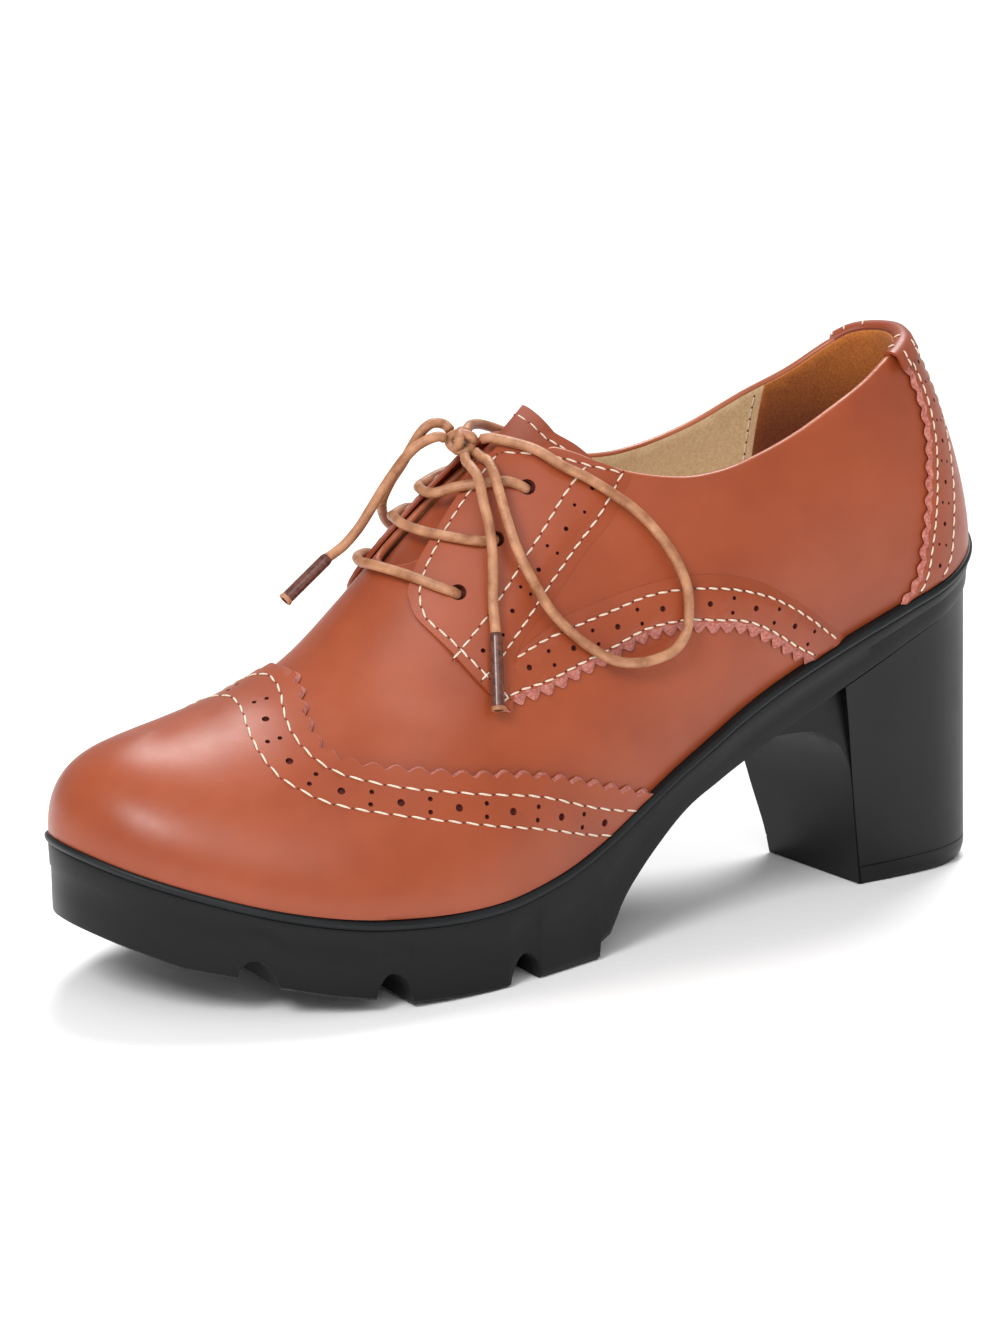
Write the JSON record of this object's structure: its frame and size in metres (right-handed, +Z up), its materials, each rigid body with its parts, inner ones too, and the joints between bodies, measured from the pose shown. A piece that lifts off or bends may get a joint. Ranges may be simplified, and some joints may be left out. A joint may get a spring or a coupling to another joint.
{
  "type": "heeled oxford shoe",
  "caption": "Left lace-up shoe in tan leather with a pinked wing cap, three eyelet pairs, a tied bow, a lugged black platform sole and a high block heel",
  "frame": {"origin": "on the floor under the middle of the shoe, which stands on its forefoot lugs and its heel", "axes": "+X to the heel along the shoe's length, -X to the toe, -Y to the lateral side, +Z up"},
  "size_m": [0.246, 0.0879, 0.1338],
  "materials": {
    "sole_rubber": "satin black moulded rubber",
    "heel_rubber": "satin black moulded rubber",
    "insole_leather": "smooth beige lining leather",
    "upper_leather": "tan leather with a soft gloss",
    "tongue_leather": "tan leather with a soft gloss",
    "cap_leather": "tan leather with a pinked, punched edge",
    "facing_leather": "tan leather, stitched and punched",
    "band_leather": "tan leather with a pinked, punched edge",
    "strap_leather": "tan leather with a pinked edge",
    "lace": "round waxed cord",
    "aglet": "dark brown tip"
  },
  "bodies": {
    "root": {"outsole": "sole_rubber", "heel": "heel_rubber", "insole": "insole_leather", "upper": "upper_leather", "tongue": "tongue_leather", "wing_cap": "cap_leather", "facing_lateral": "facing_leather", "facing_medial": "facing_leather", "side_band_lateral": "band_leather", "side_band_medial": "band_leather", "back_strap": "strap_leather", "lace_bar_1": "lace", "lace_bar_2": "lace", "lace_bar_3": "lace", "lace_knot": "lace", "lace_loop_lateral": "lace", "lace_loop_medial": "lace", "lace_end_front": "lace", "lace_end_side": "lace", "aglet_front": "aglet", "aglet_side": "aglet"}
  },
  "joints": []
}
